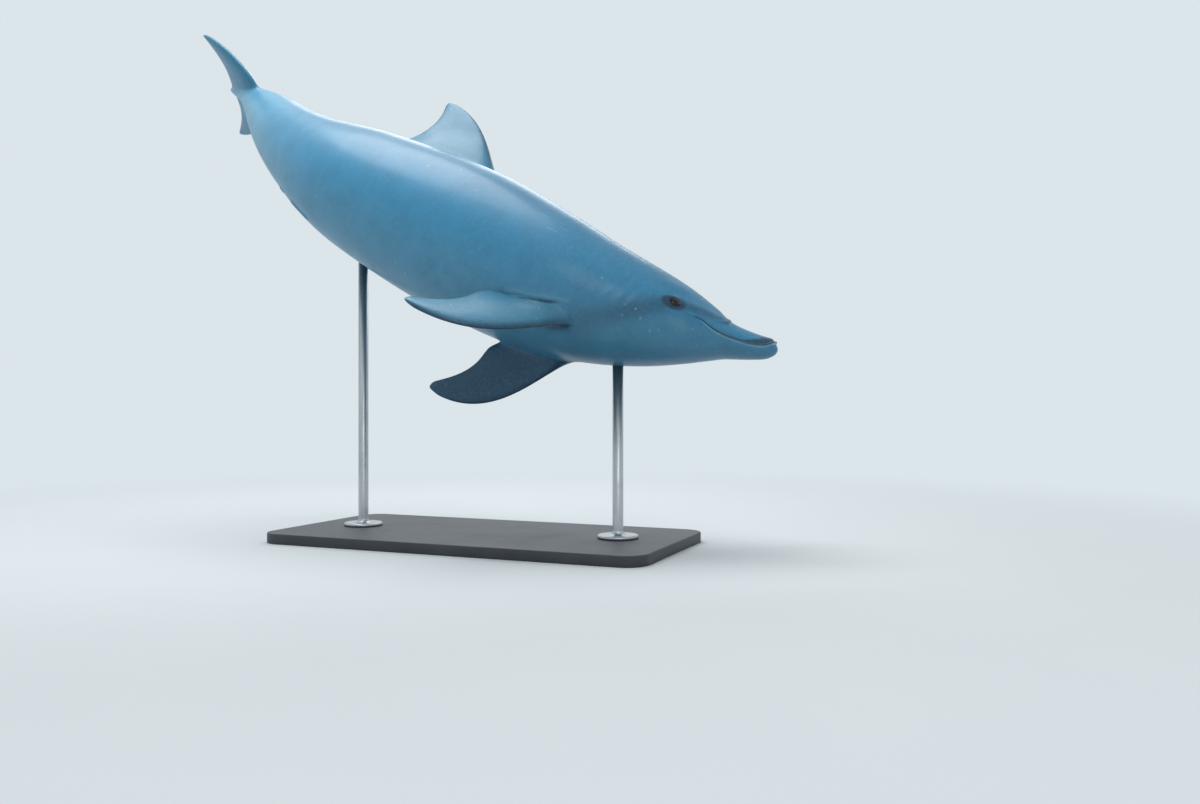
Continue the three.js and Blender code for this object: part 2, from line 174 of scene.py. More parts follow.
def curve_through(points):
    """A smooth curve through points that never overshoots them."""
    xs, ys = np.array(points, float).T
    rises = np.diff(ys) / np.diff(xs)
    before, after = rises[:-1], rises[1:]
    same_way = before * after > 0
    inner = np.where(same_way, 2 * before * after / np.where(same_way, before + after, 1), 0)
    slopes = np.concatenate(([rises[0]], inner, [rises[-1]]))

    def curve(x):
        i = np.clip(np.searchsorted(xs, x, side="right") - 1, 0, len(xs) - 2)
        width = xs[i + 1] - xs[i]
        t = np.clip((x - xs[i]) / width, 0, 1)
        fall = (1 + 2 * t) * (1 - t) ** 2
        bend = t * (1 - t) ** 2 * slopes[i] + t * t * (t - 1) * slopes[i + 1]
        return fall * ys[i] + (1 - fall) * ys[i + 1] + width * bend

    return curve


def bezier(*points):
    a, b, c, d = (np.array(p, float) for p in points)
    t = np.linspace(0, 1, 160)[:, None]
    return (1 - t) ** 3 * a + 3 * t * (1 - t) ** 2 * b + 3 * t * t * (1 - t) * c + t**3 * d


def edge_path(start, *stretches):
    """A path from start, which gives the place at a share of its way. A straight stretch is written as
    its end, and a curved one as its three other points."""
    points = np.array([start], float)
    for stretch in stretches:
        straight = np.ndim(stretch) == 1
        drawn = np.linspace(points[-1], stretch, 3) if straight else bezier(points[-1], *stretch)
        points = np.concatenate([points, drawn[1:]])
    lengths = np.linalg.norm(np.diff(points, axis=0), axis=1)
    way = np.concatenate(([0], np.cumsum(lengths))) / lengths.sum()
    return lambda t: np.stack([np.interp(t, way, points[:, k]) for k in (0, 1)], axis=-1)


def share_and_level(points):
    return -points[:, 0] / LENGTH, points[:, 2] / LENGTH


def nearest(points, spots):
    """The distance from each point to the nearest spot, and which spot that is."""
    tree = KDTree(len(spots))
    for i, spot in enumerate(spots.tolist()):
        tree.insert(spot, i)
    tree.balance()
    found = [tree.find(point) for point in points.tolist()]
    return np.array([f[2] for f in found]), np.array([f[1] for f in found])


def distance_to(path, share, level, steps=90):
    """The distance in metres from places on the side of the body to a path, and where along the path."""
    spots = np.pad(path(np.linspace(0, 1, steps)), ((0, 0), (0, 1)))
    here = np.stack([share, level, np.zeros(len(share))], axis=-1)
    away, spot = nearest(here * LENGTH, spots * LENGTH)
    return away, spot / (steps - 1)


# Paths on the side of the body, as shares and levels
CREASE = edge_path(  # between the melon and the beak, from the top down to the mouth's corner
    (0.0565, 0.02),
    ((0.0565, 0.001), (0.0595, -0.0035), (0.0625, -0.0065)),
    ((0.07, -0.0115), (0.084, -0.0135), (0.098, -0.0145)),
)
# The path of the painted shade in the hollow from the eye to the melon
MELON_SHADE_PATH = edge_path((0.12, -0.0115), ((0.1, -0.003), (0.086, -0.0085), (0.0605, -0.0045)))
FLIPPER_STRIPE = edge_path((0.132, -0.013), ((0.155, -0.026), (0.185, -0.046), (0.214, -0.063)))
ARMPIT_FOLD = edge_path((0.226, -0.0535), ((0.243, -0.0575), (0.26, -0.065), (0.285, -0.068)))

# ---- spine and pose

SPINE_STEP = 0.0025


def spine_angles(share):
    """The spine's pitch, yaw and twist at a share, in radians."""
    pitch = (
        HEAD_RAISED * fading(share, 0.1, 0.34)
        - TAIL_STOCK_RAISED * rising(share, 0.45, 0.88)
        + FLUKES_LEVELLED * rising(share, 0.88, 0.99)
    )
    yaw = HEAD_TO_LEFT * fading(share, 0.08, 0.34) - TAIL_TO_LEFT * rising(share, 0.4, 0.95)
    twist = TAIL_TWIST * rising(share, 0.5, 0.98)
    return np.radians(pitch), np.radians(yaw), np.radians(twist)


def heading(share):
    pitch, yaw, _ = spine_angles(share)
    return np.stack([np.cos(pitch) * np.cos(yaw), np.cos(pitch) * np.sin(yaw), np.sin(pitch)], axis=-1)


spine_shares = np.arange(-0.04, 1.1, SPINE_STEP)
spine_steps = -SPINE_STEP * heading(spine_shares[:-1] + SPINE_STEP / 2)
spine_walk = np.concatenate(([[0, 0, 0]], np.cumsum(spine_steps, axis=0)))
nose_down = Matrix.Rotation(math.radians(NOSE_DOWN), 3, "Y")
body_turn = np.array(nose_down @ Matrix.Rotation(-math.radians(LEFT_SIDE_DOWN), 3, "X"))


def along_spine(share):
    return np.stack([np.interp(share, spine_shares, spine_walk[:, k]) for k in range(3)], axis=-1)


def spine_point(share):
    """The spine's place in the pose, from its middle."""
    return (along_spine(np.asarray(share, float)) - along_spine(MIDDLE)) * LENGTH @ body_turn.T


foot_middle = sum(spine_point(share) for share in ROD_SHARES.values()) / 2
body_shift = np.array([-foot_middle[0], -foot_middle[1], MIDDLE_HEIGHT])


def spine_frame(share):
    """The spine's place in the pose and its three directions there: ahead, left and up."""
    _, yaw, twist = spine_angles(share)
    ahead = heading(share)
    level = np.stack([-np.sin(yaw), np.cos(yaw), np.zeros_like(yaw)], axis=-1)
    upright = np.cross(ahead, level)
    left = level * np.cos(twist)[..., None] - upright * np.sin(twist)[..., None]
    up = np.cross(ahead, left)
    return spine_point(share) + body_shift, ahead @ body_turn.T, left @ body_turn.T, up @ body_turn.T


def bent(points):
    """Unbent points in the pose."""
    place, _, left, up = spine_frame(-points[:, 0] / LENGTH)
    return place + left * points[:, 1:2] + up * points[:, 2:3]


def held_straight(points, share):
    """Unbent points in the pose, as one rigid piece that is fixed to the spine at a share."""
    place, ahead, left, up = spine_frame(np.array([share]))
    return place + ahead * (points[:, :1] + share * LENGTH) + left * points[:, 1:2] + up * points[:, 2:3]


# ---- the bare body

back, belly, half_width, widest_level = (
    curve_through([(row[0], row[column]) for row in STATIONS]) for column in (1, 2, 3, 4)
)
mouth_level = curve_through(MOUTH_LINE)


def rounding(distance, length):
    """Rises from 0 to 1 over a length as a quarter circle does."""
    return np.sqrt(1 - (1 - np.clip(distance / length, 0, 1)) ** 2)


def closing(share, way):
    """How far the body has closed towards its two tips, from 0 at a tip to 1."""
    return rounding(share, BEAK_ROUNDING[way]) * rounding(1 - share, TAIL_ROUNDING)


def half_height(share, above):
    """From the widest level to the back where above is true, or to the belly, in shares of LENGTH."""
    level = widest_level(share)
    up = (back(share) - level) * closing(share, "above")
    down = (level - belly(share)) * closing(share, "below")
    return np.where(above, up, down)


def bare_body(share, angle):
    """The smooth body's surface. The angle goes from the belly, a quarter turn below 0, to the back."""
    side, rise = np.cos(angle), np.sin(angle)
    ridge = 1 - RIDGE * rising(share, 0.55, 0.85) * rise**4
    shorter = UPPER_JAW_SHORTER * rising(rise, -0.1, 0.5) * fading(share, 0, 0.03)
    ahead = BEAK_LONGER * fading(share, 0, 0.06) - shorter * closing(share, "side") - share
    out = side * half_width(share) * ridge * closing(share, "side")
    return LENGTH * np.stack([ahead, out, widest_level(share) + rise * half_height(share, rise > 0)], axis=-1)


def body_normal(share, angle):
    share_step, angle_step = 2e-4, 1e-3
    low, high = np.clip(share - share_step, 1e-6, 1), np.clip(share + share_step, 0, 1 - 1e-6)
    along = bare_body(high, angle) - bare_body(low, angle)
    round_it = bare_body(share, angle + angle_step) - bare_body(share, angle - angle_step)
    normal = np.cross(round_it, along)
    size = np.linalg.norm(normal, axis=1, keepdims=True)
    return normal / np.maximum(size, 1e-12)


def rise_on_body(points):
    """The height of points between the belly, 0, and the back, 1."""
    share = np.clip(-points[:, 0] / LENGTH, 0, 1)
    low, high = belly(share) * LENGTH, back(share) * LENGTH
    return (points[:, 2] - low) / (high - low)


# ---- places on the head

eye_rise = (EYE_LEVEL - widest_level(EYE_SHARE)) / (back(EYE_SHARE) - widest_level(EYE_SHARE))
eye_at = np.array([EYE_SHARE]), np.array([math.asin(eye_rise)])
eye_spot = bare_body(*eye_at)[0]
eye_out = body_normal(*eye_at)[0]
eye_centre = eye_spot + eye_out * (EYE_PROUD - EYE_RADIUS)
eye_ahead = np.cross([0, 0, 1.0], eye_out)
eye_ahead *= np.sign(eye_ahead[0]) / np.linalg.norm(eye_ahead)
eye_up = np.cross(eye_out, eye_ahead)
eye_up *= np.sign(eye_up[2])
eye_along = eye_ahead * math.cos(EYE_TILT) + eye_up * math.sin(EYE_TILT)
eye_across = eye_up * math.cos(EYE_TILT) - eye_ahead * math.sin(EYE_TILT)


def eye_place(points):
    """Distances ahead of and above the eye's middle, and the distance outside its opening."""
    near = points * np.where(points[:, 1:2] < 0, [1, -1, 1], [1, 1, 1]) - eye_spot
    ahead, above = near @ eye_along, near @ eye_across
    wide, high = EYE_OPENING
    pointed = high * (1 - 0.35 * np.clip(np.abs(ahead) / wide, 0, 1) ** 2)
    outside = (np.hypot(ahead / wide, above / pointed) - 1) * high
    return ahead, above, outside


def eye_arch(ahead, above, height, bow, width, middle, half_length):
    """1 along the middle of an arched fold over or under the eye, and 0 away from it."""
    return hump(above - height + bow * ahead**2, width) * hump(ahead - middle, half_length)


def mouth_place(points):
    """The distance above the line of the mouth, and how fully the line is there."""
    share, level = share_and_level(points)
    slope = (mouth_level(share + 0.002) - mouth_level(share - 0.002)) / 0.004
    above = (level - mouth_level(share)) * LENGTH / np.hypot(1, slope)
    return above, fading(share, MOUTH_CORNER - 0.009, MOUTH_CORNER + 0.002)


def beyond_corner(share):
    """How strongly the fold that runs on from the mouth's corner towards the eye is there."""
    return between(share, MOUTH_CORNER - 0.006, MOUTH_CORNER, 0.11, 0.12)


def blowhole_place(points):
    """The distance behind the crescent of the blowhole, and the distance out from the middle."""
    out = np.abs(points[:, 1])
    behind = -points[:, 0] - BLOWHOLE_SHARE * LENGTH + BLOWHOLE_BOW * (out / BLOWHOLE_HALF) ** 2
    return behind, out


# ---- relief on the body

# Soft forms of the head: share, reach along it, level, reach up it, height in metres
HEAD_FORMS = (
    (0.118, 0.02, -0.028, 0.012, 0.0035),  # the cheek behind the mouth's corner
    (0.103, 0.011, -0.008, 0.006, -0.0024),  # the hollow between it and the eye
    (0.126, 0.016, 0.014, 0.007, -0.002),  # the hollow over the eye
)
NECK_FOLD_SPACING = 0.0125  # in shares of LENGTH


def to_ball(points, normals, radius):
    """How far points have to go along their normals to lie on a ball about the eye's centre."""
    away = points - eye_centre
    across = np.einsum("ij,ij->i", away, normals)
    inside = across**2 - np.einsum("ij,ij->i", away, away) + radius**2
    return np.where(inside > 0, -across + np.sqrt(np.maximum(inside, 0)), -0.05)


def eye_relief(points, normals):
    """The lids over the eye's ball, the folds round them, and the hollow that the ball sits in."""
    _, above, outside = eye_place(points)
    lid = to_ball(points, normals, EYE_RADIUS + LID_THICKNESS)
    lid_share = np.clip(0.5 + 0.5 * lid / LID_SOFTNESS, 0, 1)
    over = lid * lid_share + LID_SOFTNESS * lid_share * (1 - lid_share)
    over += 0.0006 * hump(outside - 0.0016, 0.0011)
    over -= 0.0011 * hump(outside - 0.0062, 0.0013) * rising(above, -0.004, 0.004)
    over -= 0.0008 * hump(outside - 0.0066, 0.0015) * rising(-above, -0.002, 0.005)
    over -= 0.0006 * hump(outside - 0.0108, 0.0016)
    socket = to_ball(points, normals, EYE_RADIUS - EYE_SOCKET_DEPTH)
    opening = fading(outside, -0.0007, 0.0006)
    near = hump(np.maximum(outside - 0.009, 0), 0.009)
    return (over * (1 - opening) + socket * opening) * near


def mouth_relief(points, share):
    """The lips, the groove between them, and the fold that runs on from the mouth's corner."""
    above, there = mouth_place(points)
    lips = hump(np.abs(above) - 0.0052, 0.0034) * np.where(above > 0, 0.0009, 0.0013)
    groove = 0.0034 * hump(above, 0.0016)
    return there * (lips - groove) - 0.0016 * beyond_corner(share) * hump(above, 0.003)


def melon_relief(share, level, rise):
    """The round front of the melon, and the crease that parts it from the beak."""
    away, along = distance_to(CREASE, share, level)
    crease = 0.003 * hump(away, 0.005) * fading(along, 0.3, 0.85) * rising(rise, -0.6, 0.2)
    front = between(share, 0.058, 0.066, 0.075, 0.115) * rising(level, -0.006, 0.006)
    return 0.0028 * front - crease


def blowhole_relief(points, rise):
    """The crescent, the lips round it, and the dip behind it."""
    behind, out = blowhole_place(points)
    ends = fading(out, BLOWHOLE_HALF * 0.8, BLOWHOLE_HALF * 1.12)
    crescent = 0.0016 * hump(np.abs(behind) - 0.0055, 0.0045) - 0.0052 * hump(behind, 0.0019)
    dip = 0.002 * hump(behind + 0.018, 0.014) * hump(out, 0.03)
    return rising(rise, 0.5, 0.8) * (ends * crescent - dip)


def head_relief(points, normals, share, rise):
    level = points[:, 2] / LENGTH
    out = eye_relief(points, normals) + mouth_relief(points, share)
    out += melon_relief(share, level, rise) + blowhole_relief(points, rise)
    for middle, reach, middle_level, reach_up, height in HEAD_FORMS:
        out += height * hump(share - middle, reach) * hump(level - middle_level, reach_up)
    ahead, above, _ = eye_place(points)
    out += 0.002 * eye_arch(ahead, above, 0.021, 9, 0.0055, -0.002, 0.022)
    out += 0.0008 * eye_arch(ahead, above, -0.0235, -7, 0.0045, -0.002, 0.018)
    return out


def slit_here(share, start, end):
    return between(share, start - 0.003, start + 0.002, end - 0.002, end + 0.003)


def relief(points, normals, share, angle):
    """How far the finished skin stands out of the bare body."""
    rise = np.sin(angle)
    out = np.zeros(len(points))
    head = share < 0.2
    out[head] = head_relief(points[head], normals[head], share[head], rise[head])

    aside = np.abs(points[:, 1])
    for start, end, depth in BELLY_SLITS:
        slit = 0.0012 * hump(aside - 0.0075, 0.0055) - depth * hump(aside, 0.0024)
        out += rising(-rise, 0.5, 0.8) * slit_here(share, start, end) * slit

    # The long furrow between the muscles of the tail stock, and soft folds on the sides of the neck
    out -= 0.004 * between(share, 0.6, 0.74, 0.88, 0.93) * hump(rise - 0.12, 0.3)
    folds = 0.0005 * np.sin(2 * math.pi * (share + 0.03 * rise) / NECK_FOLD_SPACING)
    on_side = fading(np.abs(rise + 0.25), 0.2, 0.75)
    return out + folds * between(share, 0.15, 0.175, 0.2, 0.235) * on_side


# ---- meshes


def places(bm):
    return np.array([v.co for v in bm.verts])


def move_to(bm, points):
    for v, point in zip(bm.verts, points):
        v.co = point


def face_outwards(bm):
    bmesh.ops.recalc_face_normals(bm, faces=bm.faces)


def finish_faces(bm):
    face_outwards(bm)
    for f in bm.faces:
        f.smooth = True


def add_to_scene(name, data):
    thing = bpy.data.objects.new(name, data)
    bpy.context.scene.collection.objects.link(thing)
    return thing


def mesh_object(name, bm):
    mesh = bpy.data.meshes.new(name)
    bm.to_mesh(mesh)
    bm.free()
    return add_to_scene(name, mesh)


def keep_on_mesh(piece, name, values):
    """Stores three numbers for each vertex for the paint to read."""
    attributes = piece.data.attributes
    if name in attributes:
        attributes.remove(attributes[name])
    layer = attributes.new(name, "FLOAT_VECTOR", "POINT")
    layer.data.foreach_set("vector", np.ravel(values).astype(np.float32))


# ---- meshing the body

DIVIDING_PASSES = 5
MIDPLANE = math.pi / 2  # the angle of the back's middle line, and minus that of the belly's


def wanted_size(points):
    """The longest mesh edge that each place on the body should have."""
    share, level = share_and_level(points)
    above_mouth, _ = mouth_place(points)
    _, _, outside_eye = eye_place(points)
    behind_blowhole, aside = blowhole_place(points)
    at_blowhole = (np.abs(behind_blowhole) < 0.009) & (aside < 0.024) & (level > 0.03)
    at_slit = np.any([within(share, start - 0.006, end + 0.006) for start, end, _ in BELLY_SLITS], axis=0)
    flipper_root = within(share, 0.19, 0.3) & within(level, -0.085, -0.02)
    fold = np.full(len(points), np.inf)
    fold[flipper_root], _ = distance_to(ARMPIT_FOLD, share[flipper_root], level[flipper_root])
    size = np.full(len(points), 0.0205)
    for zone, longest in (
        (share > 0.68, 0.0145),
        (share < 0.3, 0.0125),
        (share < 0.18, 0.0066),
        (share < 0.014, 0.003),
        (within(share, 0.052, 0.085) & within(level, -0.016, 0.012), 0.0033),
        ((share < MOUTH_CORNER + 0.004) & (np.abs(above_mouth) < 0.008), 0.0021),
        (outside_eye < 0.017, 0.0021),
        (np.abs(outside_eye) < 0.0028, 0.0009),
        (at_blowhole, 0.0018),
        (at_slit & (aside < 0.012) & (level < -0.02), 0.0026),
        (flipper_root, 0.008),
        (fold < 0.012, 0.0036),
        (within(share, 0.39, 0.63) & (aside < 0.055) & (level > 0.05), 0.0098),
        (share > 0.895, 0.0062),
    ):
        size[zone] = longest
    return size


def body_mesh():
    """The whole body without its fins, unbent: its left half is a grid, divided where it has detail."""
    bm = bmesh.new()
    bmesh.ops.create_grid(bm, x_segments=150, y_segments=40, size=0.5)

    def on_skin():
        flat = places(bm)[:, :2] + 0.5
        share = np.clip(flat[:, 0], 0, 1) ** 1.5
        angle = (flat[:, 1] - 0.5) * math.pi
        return share, angle, bare_body(share, angle)

    for _ in range(DIVIDING_PASSES):
        _, _, points = on_skin()
        ends = np.array([[v.index for v in e.verts] for e in bm.edges])
        a, b = points[ends[:, 0]], points[ends[:, 1]]
        too_long = np.linalg.norm(a - b, axis=1) > wanted_size((a + b) / 2)
        edges = [e for e, long in zip(bm.edges, too_long) if long]
        if not edges:
            break
        bmesh.ops.subdivide_edges(bm, edges=edges, cuts=1, use_grid_fill=True, use_single_edge=True)
        bmesh.ops.triangulate(bm, faces=[f for f in bm.faces if len(f.verts) > 4])
        bm.verts.index_update()
    share, angle, points = on_skin()
    normals = body_normal(share, angle)
    points += normals * relief(points, normals, share, angle)[:, None]
    points[np.abs(np.abs(angle) - MIDPLANE) < 1e-4, 1] = 0
    move_to(bm, points)
    bmesh.ops.remove_doubles(bm, verts=bm.verts, dist=1e-5)
    bmesh.ops.mirror(bm, geom=bm.verts[:] + bm.edges[:] + bm.faces[:], axis="Y", merge_dist=1e-5)
    bmesh.ops.dissolve_degenerate(bm, edges=bm.edges, dist=1e-6)
    face_outwards(bm)
    return bm


# ---- fins

# Each fin's front and rear edges. A flipper's run outward and rearward, before it is scaled.
FLIPPER_EDGES = (
    edge_path((-0.029, -0.03), (0.0007, -0.02), ((0.0274, -0.002), (0.1164, -0.0144), (0.1376, 0.0759))),
    edge_path(
        (0.001, 0.038),
        (0.0328, 0.0408),
        ((0.0365, 0.0315), (0.0318, 0.0658), (0.0676, 0.0577)),
        ((0.1034, 0.0496), (0.1328, 0.0872), (0.1376, 0.0759)),
    ),
)
DORSAL_EDGES = (  # as shares and levels
    edge_path((0.385, 0.05), (0.421, 0.0945), ((0.465, 0.135), (0.511, 0.19), (0.606, 0.184))),
    edge_path((0.61, 0.05), (0.604, 0.086), ((0.57, 0.118), (0.571, 0.156), (0.606, 0.184))),
)
FLUKE_EDGES = (  # as shares and distances out from the middle
    edge_path((0.888, -0.004), (0.905, 0.01), ((0.922, 0.045), (0.977, 0.0785), (1.036, 0.079))),
    edge_path((0.996, -0.004), (0.996, 0.004), ((0.9848, 0.0289), (0.9979, 0.0481), (1.036, 0.079))),
)

# Half a fin's thickness: at its tip, more at its root, and a swell of the root that ends between two
# shares of its span
FLIPPER_THICKNESS = (0.0026, 0.0052, 0.006, 0.1, 0.4)
DORSAL_THICKNESS = (0.0024, 0.0062, 0.008, 0.25, 0.6)
FLUKE_THICKNESS = (0.0022, 0.0068, 0, 0, 1)


def fin_mesh(edges, thickness, axes, around, along, scale=LENGTH):
    """A closed fin made from a ball. Its axes are its root, its edges' two directions and its face's."""
    bm = bmesh.new()
    bmesh.ops.create_uvsphere(bm, u_segments=around, v_segments=along, radius=1)
    ball = places(bm)
    way = np.arccos(np.clip(ball[:, 2], -1, 1)) / math.pi
    angle = np.arctan2(ball[:, 1], ball[:, 0])
    span = np.sin(way * math.pi / 2)
    tip = np.where(way < 1e-6, 0, rounding(1 - span, 0.06))
    lead, trail = (edge(span * FIN_BLUNTING) for edge in edges)
    flat = lead + (trail - lead) * (0.5 - 0.5 * np.cos(angle) * tip)[:, None]
    at_tip, at_root, swell, swell_from, swell_to = thickness
    half = at_tip + at_root * (1 - span) + swell * fading(span, swell_from, swell_to)
    height = half * (np.sin(angle) * (1 + FIN_FULLNESS * np.cos(angle)) * tip)
    root, first, second, normal = axes
    in_plane = root + flat[:, :1] * scale * first + flat[:, 1:] * scale * second
    move_to(bm, in_plane + height[:, None] * LENGTH * normal)
    bm.normal_update()
    face_outwards(bm)
    return bm


def flipper_axes(side):
    """The unbent flipper's root, and its directions: outward, rearward, and off its upper face."""
    sweep, droop = (math.radians(a) for a in FLIPPERS[side])
    tilt = math.radians(FLIPPER_TILT)
    out_down = np.array([0, side * math.cos(droop), -math.sin(droop)])
    normal = np.array([0, side * math.sin(droop), math.cos(droop)])
    ahead = np.array([1.0, 0, 0])
    root = LENGTH * np.array([-FLIPPER_SHARE, side * FLIPPER_ROOT[0], FLIPPER_ROOT[1]])
    out = out_down * math.cos(sweep) - ahead * math.sin(sweep)
    rearward = -out_down * math.sin(sweep) - ahead * math.cos(sweep)
    lifted = rearward * math.cos(tilt) + normal * math.sin(tilt)
    return root, out, lifted, normal * math.cos(tilt) - rearward * math.sin(tilt)


def flipper_mesh(side):
    return fin_mesh(FLIPPER_EDGES, FLIPPER_THICKNESS, flipper_axes(side), 56, 80, FLIPPER_SCALE * LENGTH)


def dorsal_mesh():
    axes = np.array([(0, 0, 0), (-1, 0, 0), (0, 0, 1), (0, 1, 0)])
    return fin_mesh(DORSAL_EDGES, DORSAL_THICKNESS, axes, 84, 60)


def fluke_mesh(side):
    axes = np.array([(0, 0, 0), (-1, 0, 0), (0, side, 0), (0, 0, 1)])
    return fin_mesh(FLUKE_EDGES, FLUKE_THICKNESS, axes, 56, 128)


# ---- marks, painted shade and painted highlights for the paint


def flipper_zone(points, side):
    share, level = share_and_level(points)
    return within(share, 0.17, 0.45) & (level < 0) & (points[:, 1] * side > 0)


def chest_zone(points):
    share, level = share_and_level(points)
    return within(share, 0.2, 0.32) & (level < -0.03)


def armpit_fold(points, width):
    """The depth from 0 to 1 of the fold that runs back from each flipper's root."""
    away, along = distance_to(ARMPIT_FOLD, *share_and_level(points))
    return hump(away, width) * between(along, 0, 0.25, 0.7, 1) * 0.8


def head_marks_with_painted_light(points, share, level):
    """The dark marks with painted shade, the pale marks with painted highlights, and the painted shade of the
    head's creases, each from 0 to 1.
    """
    ahead, above, outside = eye_place(points)
    mouth, there = mouth_place(points)
    from_crease, along_crease = distance_to(CREASE, share, level)
    behind_hole, aside = blowhole_place(points)

    # Dark: the patch round the eye, painted shade in the hollow from it to the melon, the band from it to the
    # flipper, and the upper lip
    turn_ahead, turn_above = 0.94, 0.34  # the patch's long way, which rises ahead
    patch_long = (ahead * turn_ahead + above * turn_above + 0.003) / 0.046
    patch_high = (above * turn_ahead - ahead * turn_above + 0.002) / 0.024
    patch = fading(np.hypot(patch_long, patch_high), 0.5, 1.25)
    away, along = distance_to(MELON_SHADE_PATH, share, level)
    melon_shade = hump(away, 0.02) * (0.62 - 0.06 * along)
    away, along = distance_to(FLIPPER_STRIPE, share, level)
    stripe = hump(away, 0.03 + 0.014 * along) * (0.56 - 0.1 * along)
    lip_height = 0.005 + 0.024 * fading(share, 0.014, 0.045)
    upper_lip = rising(mouth, 0.0006, 0.002) * fading(mouth / lip_height, 0.6, 1.3)
    upper_lip *= fading(share, 0.07, 0.1)
    dark_and_shade = np.maximum.reduce([0.92 * patch, melon_shade, stripe, 0.8 * upper_lip])

    # Pale: the cheek, the beak's tip and the lower lip, then painted highlights on the beak's top by the
    # melon's edge and on the arches about the eye
    cheek = hump(share - 0.117, 0.022) * hump(level + 0.031, 0.011)
    tip = fading(share, 0.003, 0.01) * hump(mouth + 0.0035, 0.0035)
    lip = hump(mouth + 0.0038, 0.0021) * there * fading(share, 0.085, 0.105)
    melon_edge_highlight = hump(from_crease - 0.008, 0.008) * (share < 0.06)
    brow_highlight = eye_arch(ahead, above, 0.024, 9, 0.006, 0, 0.02)
    under_eye_highlight = eye_arch(ahead, above, -0.027, -7, 0.0045, 0.004, 0.018)
    pale_and_highlight = np.maximum.reduce([0.3 * cheek, tip, 0.65 * lip, 0.45 * melon_edge_highlight, 0.4 * brow_highlight, 0.3 * under_eye_highlight])

    # Painted shade in the creases: the lids' edges, the mouth, the melon's crease and the blowhole
    lids = hump(np.maximum(outside, 0), 0.0022) + 0.4 * hump(outside - 0.0062, 0.0014)
    groove = np.maximum(hump(mouth, 0.0019) * there, 0.45 * hump(mouth, 0.0028) * beyond_corner(share))
    melon_crease = 0.4 * hump(from_crease, 0.0034) * fading(along_crease, 0.25, 0.7)
    hole = hump(behind_hole, 0.0022) * fading(aside, 0.015, 0.021) * (level > 0.03)
    return dark_and_shade, pale_and_highlight, np.maximum.reduce([np.clip(lids, 0, 1), groove, melon_crease, hole])


def marks_with_painted_light(points, height):
    """The dark marks with painted shade, the pale marks with painted highlights, and the depth of creases
    that sets their painted shade, each from 0 to 1.
    """
    share, level = share_and_level(points)
    marks_shade_and_highlights = np.zeros((3, len(points)))
    dark_and_shade, pale_and_highlight, crease = marks_shade_and_highlights
    head = share < 0.24
    marks_shade_and_highlights[:, head] = head_marks_with_painted_light(points[head], share[head], level[head])
    dark_and_shade *= rising(0.012 - height, 0, 0.01)
    chest = chest_zone(points)
    # Painted shade in the fold behind each flipper
    crease[chest] = np.maximum(crease[chest], armpit_fold(points[chest], 0.0034))
    # A painted highlight along the swell over each flipper's fold
    over_fold, _ = distance_to(ARMPIT_FOLD, share[chest], level[chest] - 0.0035)
    pale_and_highlight[chest] = np.maximum(pale_and_highlight[chest], 0.35 * hump(over_fold, 0.006))
    on_belly = hump(np.abs(points[:, 1]), 0.003) * (level < -0.02) * (height < 0.01)
    # Painted shade in the navel and the slits under the tail stock
    for start, end, _ in BELLY_SLITS:
        crease[:] = np.maximum(crease, 0.26 * slit_here(share, start, end) * on_belly)
    return marks_shade_and_highlights.T


def from_edges(edges, out, across, out_column):
    """How far places are behind a fin's front edge and ahead of its rear one, in its edges' own units."""
    lead, trail = (edge(np.linspace(0, 1, 200)).T for edge in edges)
    across_column = 1 - out_column
    behind_front = across - np.interp(out, lead[out_column], lead[across_column])
    return behind_front, np.interp(out, trail[out_column], trail[across_column]) - across


def fin_marks(points, height):
    """How far points are on a fin and how near its front and rear edges, each from 0 to 1, and then 1 on
    a flipper's upper, outer face and -1 on its lower, inner one."""
    share, level = share_and_level(points)
    from_front, from_rear, face = np.zeros((3, len(points)))
    scale = FLIPPER_SCALE * LENGTH
    dorsal = within(share, 0.36, 0.66) & (level > 0.04)
    fluke = share > FLUKES_FROM
    on_any = dorsal | fluke
    for side in FLIPPERS:
        root, out, rearward, normal = flipper_axes(side)
        here = flipper_zone(points, side)
        on_any |= here
        from_root = points[here] - root
        x, y = from_root @ out / scale, from_root @ rearward / scale
        near_front, near_rear = from_edges(FLIPPER_EDGES, x, y, 0)
        from_front[here], from_rear[here] = near_front * scale, near_rear * scale
        face[here] = np.clip(from_root @ normal / 0.004, -1, 1)
    for zone, edges, out, slant in (
        (dorsal, DORSAL_EDGES, level, 0.75),
        (fluke, FLUKE_EDGES, np.abs(points[:, 1]) / LENGTH, 0.8),
    ):
        near_front, near_rear = from_edges(edges, out[zone], share[zone], 1)
        from_front[zone], from_rear[zone] = near_front * LENGTH * slant, near_rear * LENGTH
    on_fin = rising(height, -0.014, 0.014) * on_any
    far_out = rising(height, 0.0, 0.11)
    front_edge = hump(np.maximum(from_front, 0), 0.007 + 0.006 * far_out) * (0.5 + 0.5 * far_out)
    rear_edge = hump(np.maximum(from_rear, 0), 0.006)
    return on_fin, on_fin * front_edge, on_fin * rear_edge, face


# ---- the skin

BODY, FIN = 1.0, 2.0
ROOT_SOFTNESS = 0.045  # how far from a fin's root the skin is smoothed
FLUKE_ROOT_SOFTNESS = ROOT_SOFTNESS * 0.75
SMOOTHING_PASSES = 26
SEAM_PASSES = 6


def remembered(name, bm, pose, kind):
    """A mesh object in the pose. Each vertex keeps its unbent place, and whether it is body or fin."""
    points = places(bm)
    move_to(bm, pose(points))
    piece = mesh_object(name, bm)
    keep_on_mesh(piece, "unbent", points)
    keep_on_mesh(piece, "kind", np.full((len(points), 3), kind))
    return piece


